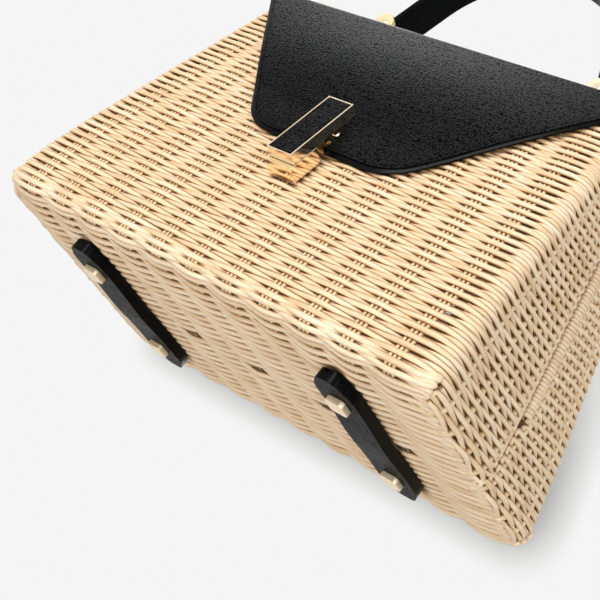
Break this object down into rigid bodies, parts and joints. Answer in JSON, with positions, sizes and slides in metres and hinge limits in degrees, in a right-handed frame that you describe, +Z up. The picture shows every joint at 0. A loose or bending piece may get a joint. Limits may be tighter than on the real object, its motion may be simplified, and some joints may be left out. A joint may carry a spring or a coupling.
{
  "type": "basket box bag",
  "caption": "Woven reed box bag with leaning walls, a leather flap over the top with a pressed bar clasp, an arched leather handle, and base straps on metal feet.",
  "frame": {"origin": "middle of the base at the soles of the feet", "axes": "+Z up, front with the clasp faces -Y, +X to the viewer's right"},
  "size_m": [0.302, 0.1674, 0.3077],
  "materials": {
    "reed": "pale round reed, satin",
    "black_leather": "black grained leather with painted edges",
    "gold_metal": "pale polished gold",
    "steel": "plain fasteners and plates inside"
  },
  "bodies": {
    "basket": {"front_weave": "reed", "rear_weave": "reed", "left_front_gusset": "reed", "left_rear_gusset": "reed", "right_front_gusset": "reed", "right_rear_gusset": "reed", "base_weave": "reed", "front_rim": "reed", "rear_rim": "reed", "left_slit_border": "reed", "right_slit_border": "reed", "flap_anchor": "black_leather", "anchor_rivets": "gold_metal", "rivet_washers": "steel", "catch_block": "gold_metal", "catch_plate": "steel", "catch_screws": "steel", "left_strap": "black_leather", "right_strap": "black_leather", "left_front_foot": "gold_metal", "left_rear_foot": "gold_metal", "right_front_foot": "gold_metal", "right_rear_foot": "gold_metal", "foot_screws": "steel", "foot_nuts": "steel"},
    "flap": {"flap": "black_leather", "handle": "black_leather", "left_handle_bracket": "gold_metal", "right_handle_bracket": "gold_metal", "left_bracket_ears": "gold_metal", "right_bracket_ears": "gold_metal", "left_handle_pin": "gold_metal", "right_handle_pin": "gold_metal", "handle_plate": "steel", "bracket_screws": "steel", "clasp_post": "gold_metal", "clasp_pin": "gold_metal", "post_rivets": "gold_metal"},
    "clasp": {"clasp_bar": "gold_metal", "clasp_lugs": "gold_metal", "clasp_inlay": "black_leather"}
  },
  "joints": [
    {"name": "flap_hinge", "type": "hinge", "parent": "basket", "child": "flap", "pos_m": [0, 0.03458, 0.2064], "axis": [-1, 0, 0], "range_deg": [0, 110]},
    {"name": "clasp_rock", "type": "hinge", "parent": "flap", "child": "clasp", "pos_m": [0, -0.0664, 0.11148], "axis": [-1, 0, 0], "range_deg": [0, 10], "stiffness_Nm_per_rad": 0.05}
  ]
}
